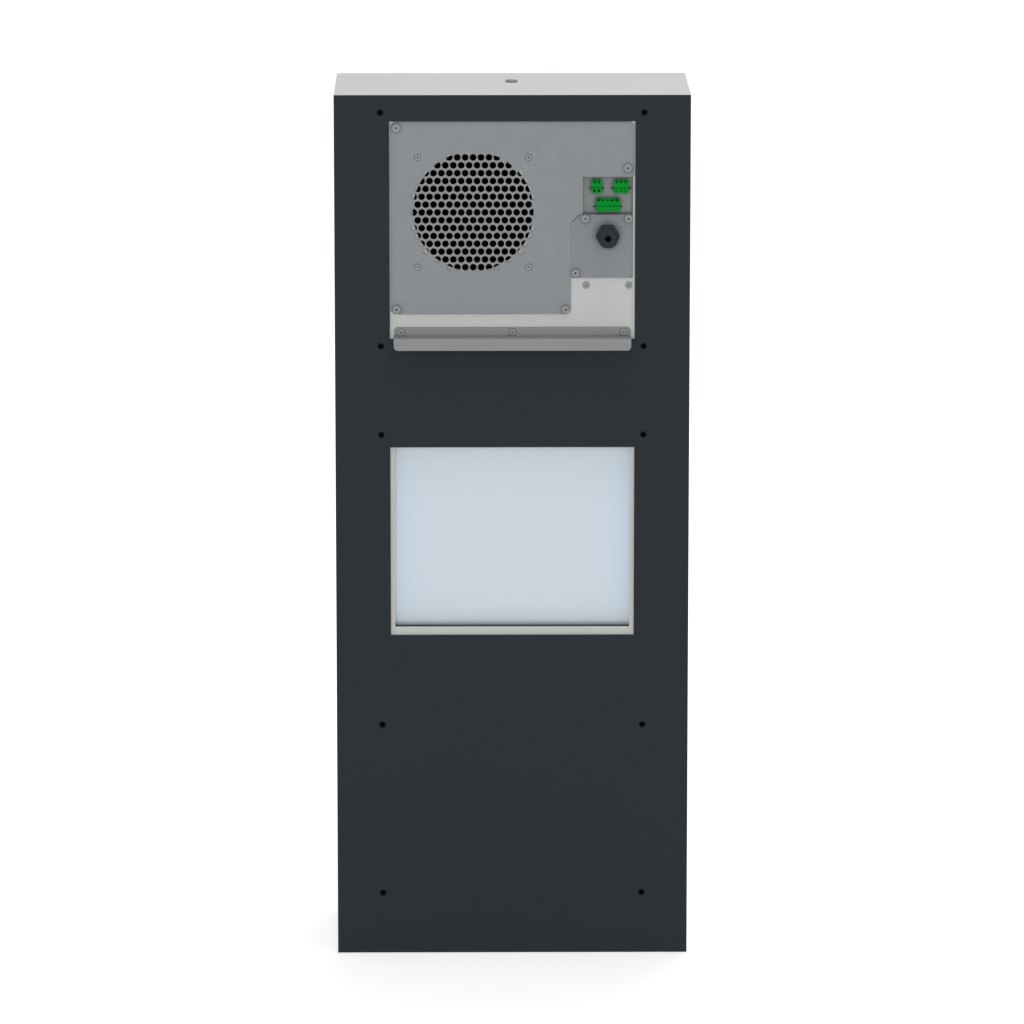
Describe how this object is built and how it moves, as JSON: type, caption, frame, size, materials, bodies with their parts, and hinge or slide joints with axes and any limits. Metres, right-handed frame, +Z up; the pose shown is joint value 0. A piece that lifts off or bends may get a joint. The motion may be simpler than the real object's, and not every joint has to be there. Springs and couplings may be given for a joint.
{
  "type": "enclosure air conditioner",
  "caption": "Tall wall-hung enclosure air conditioner: foam-gasketed back with a perforated fan inlet, cold-air window, hook, cable gland and plug terminals; louvred front cover.",
  "frame": {"origin": "on the flat base, at mid width and mid depth of the casing", "axes": "+Z up; -Y is the gasketed side that hangs on the cabinet; +X is to the right seen from that side"},
  "size_m": [0.4, 0.2465, 0.9924],
  "materials": {
    "casing_powder_coat": "fine textured powder coat, light grey",
    "gasket_foam": "matt closed-cell foam, charcoal",
    "galvanised_sheet": "dull galvanised sheet",
    "zinc_screw": "bright zinc plate",
    "bush_black_zinc": "black passivated zinc plate",
    "lifting_screw_dark": "dark grey plastic cap",
    "terminal_green": "semi-gloss moulded green",
    "gland_polyamide": "satin moulded polyamide, dark grey",
    "gland_rubber": "matt black rubber",
    "fan_wheel_black": "matt black moulded plastic",
    "matt_black_coat": "metal coated matt black",
    "duct_foam": "fine-beaded pale blue-grey moulded foam",
    "tray_plastic": "dark slate moulded plastic",
    "coil_fins": "thin bare aluminium fins",
    "copper_tube": "bare drawn copper",
    "compressor_paint": "black enamel",
    "foot_rubber": "matt black rubber",
    "circuit_board": "green solder mask"
  },
  "bodies": {
    "casing": {"chassis_tray": "casing_powder_coat", "front_cover": "casing_powder_coat", "mounting_gasket": "gasket_foam", "inlet_plate": "galvanised_sheet", "gland_plate": "galvanised_sheet", "connector_panel": "galvanised_sheet", "hook_bracket": "galvanised_sheet", "nozzle_plate": "galvanised_sheet", "fan_shroud": "galvanised_sheet", "evaporator_end_plates": "galvanised_sheet", "condenser_end_plates": "galvanised_sheet", "control_box": "galvanised_sheet", "plate_screws": "zinc_screw", "fan_screws": "zinc_screw", "hook_screws": "zinc_screw", "box_screws": "zinc_screw", "cover_screws": "zinc_screw", "lifting_bush": "zinc_screw", "fan_spacers": "zinc_screw", "threaded_bushes": "bush_black_zinc", "lifting_screw": "lifting_screw_dark", "header_2_pole": "terminal_green", "header_3_pole": "terminal_green", "header_5_pole": "terminal_green", "gland_body": "gland_polyamide", "gland_locknut": "gland_polyamide", "inner_fan_frame": "matt_black_coat", "outer_fan_bracket": "matt_black_coat", "partition": "matt_black_coat", "duct_liner": "duct_foam", "drip_tray": "tray_plastic", "drain_pipe": "tray_plastic", "evaporator_fins": "coil_fins", "condenser_fins": "coil_fins", "evaporator_bends": "copper_tube", "condenser_bends": "copper_tube", "suction_pipe": "copper_tube", "discharge_pipe": "copper_tube", "liquid_line": "copper_tube", "expansion_line": "copper_tube", "filter_drier": "copper_tube", "compressor": "compressor_paint", "accumulator": "compressor_paint", "compressor_feet": "foot_rubber", "control_board": "circuit_board"},
    "inner_fan": {"inner_fan_rotor": "fan_wheel_black"},
    "outer_fan": {"outer_fan_rotor": "fan_wheel_black"},
    "plug_2": {"plug_2_pole": "terminal_green"},
    "plug_3": {"plug_3_pole": "terminal_green"},
    "plug_5": {"plug_5_pole": "terminal_green"},
    "gland_insert": {"gland_seal": "gland_rubber"},
    "gland_nut": {"gland_dome_nut": "gland_polyamide"}
  },
  "joints": [
    {"name": "inner_fan_spin", "type": "hinge", "parent": "casing", "child": "inner_fan", "pos_m": [-0.044, -0.0745, 0.8576], "axis": [0, 1, 0], "continuous": true},
    {"name": "outer_fan_spin", "type": "hinge", "parent": "casing", "child": "outer_fan", "pos_m": [0, 0.015, 0.724], "axis": [0, 1, 0], "continuous": true},
    {"name": "plug_2_pull", "type": "slide", "parent": "casing", "child": "plug_2", "axis": [0, -1, 0], "range_m": [0, 0.012]},
    {"name": "plug_3_pull", "type": "slide", "parent": "casing", "child": "plug_3", "axis": [0, -1, 0], "range_m": [0, 0.012]},
    {"name": "plug_5_pull", "type": "slide", "parent": "casing", "child": "plug_5", "axis": [0, -1, 0], "range_m": [0, 0.012]},
    {"name": "gland_insert_slide", "type": "slide", "parent": "casing", "child": "gland_insert", "axis": [0, -1, 0], "range_m": [0, 0.0046]},
    {"name": "gland_nut_turn", "type": "hinge", "parent": "gland_insert", "child": "gland_nut", "pos_m": [0.107, -0.1245, 0.8318], "axis": [0, -1, 0], "range_deg": [0, 1080]}
  ],
  "couplings": [
    {"joint": "gland_insert_slide", "follows": "gland_nut_turn", "m_per_rad": 0.00023873}
  ]
}
